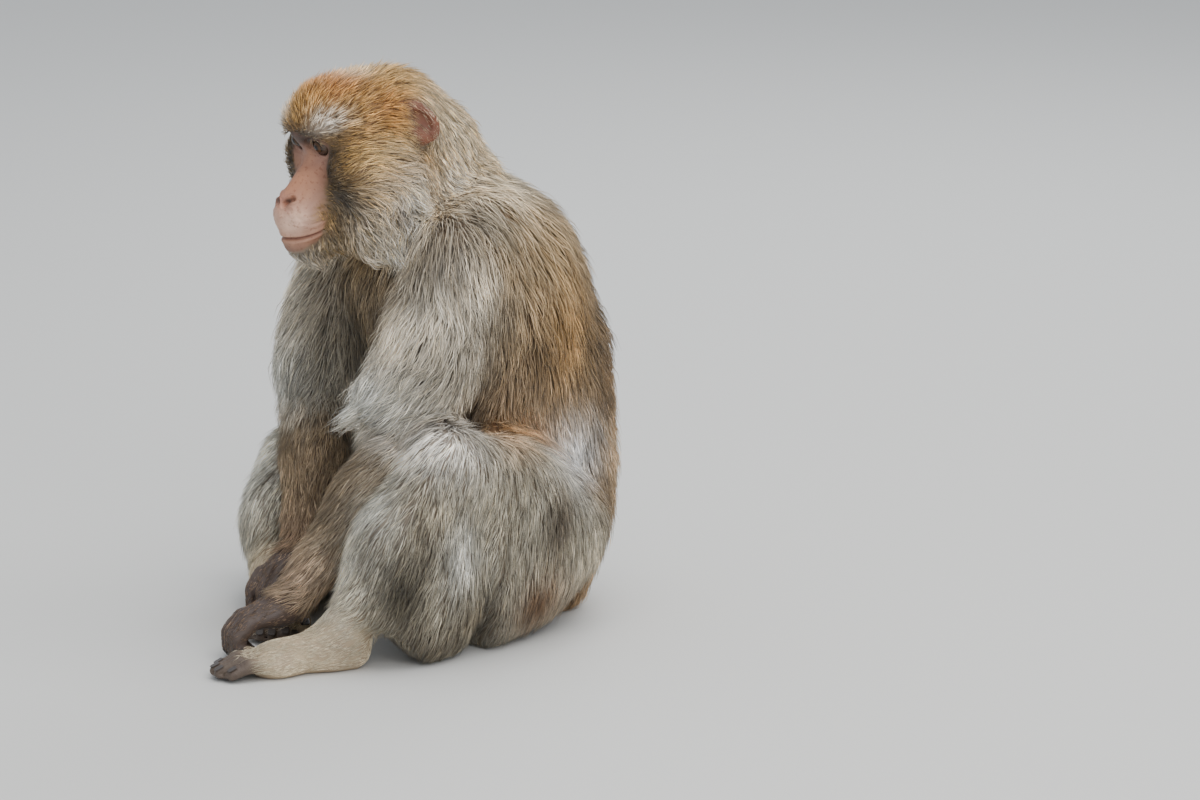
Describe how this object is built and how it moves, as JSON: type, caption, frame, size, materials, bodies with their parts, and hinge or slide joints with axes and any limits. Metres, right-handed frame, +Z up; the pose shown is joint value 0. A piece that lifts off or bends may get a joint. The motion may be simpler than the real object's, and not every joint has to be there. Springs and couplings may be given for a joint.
{
  "type": "barbary macaque",
  "caption": "Adult male Barbary macaque sitting with its knees up and its hands at its feet, a still life-size display model.",
  "frame": {"origin": "centre of the bounding box's base, on the floor under the animal", "axes": "+Z up, the animal faces -Y, its left side is +X"},
  "size_m": [0.4212, 0.4828, 0.5434],
  "materials": {
    "crown": "dense golden brown fur, matte",
    "mantle": "long grey beige fur, matte",
    "back": "golden brown fur, matte",
    "limb": "short brown fur, matte",
    "thigh": "cream grey fur, matte",
    "foot": "short blond fur over dark skin",
    "hand": "dark bare skin, soft sheen",
    "ear": "thin reddish skin",
    "eye": "wet gloss"
  },
  "bodies": {
    "root": {"head": "crown", "neck": "mantle", "chest": "back", "loins": "back", "rump": "back", "tail_stub": "back", "eye_left": "eye", "ear_left": "ear", "upper_arm_left": "mantle", "forearm_left": "limb", "hand_left": "hand", "thigh_left": "thigh", "shin_left": "thigh", "foot_left": "foot", "eye_right": "eye", "ear_right": "ear", "upper_arm_right": "mantle", "forearm_right": "limb", "hand_right": "hand", "thigh_right": "thigh", "shin_right": "thigh", "foot_right": "foot"}
  },
  "joints": []
}
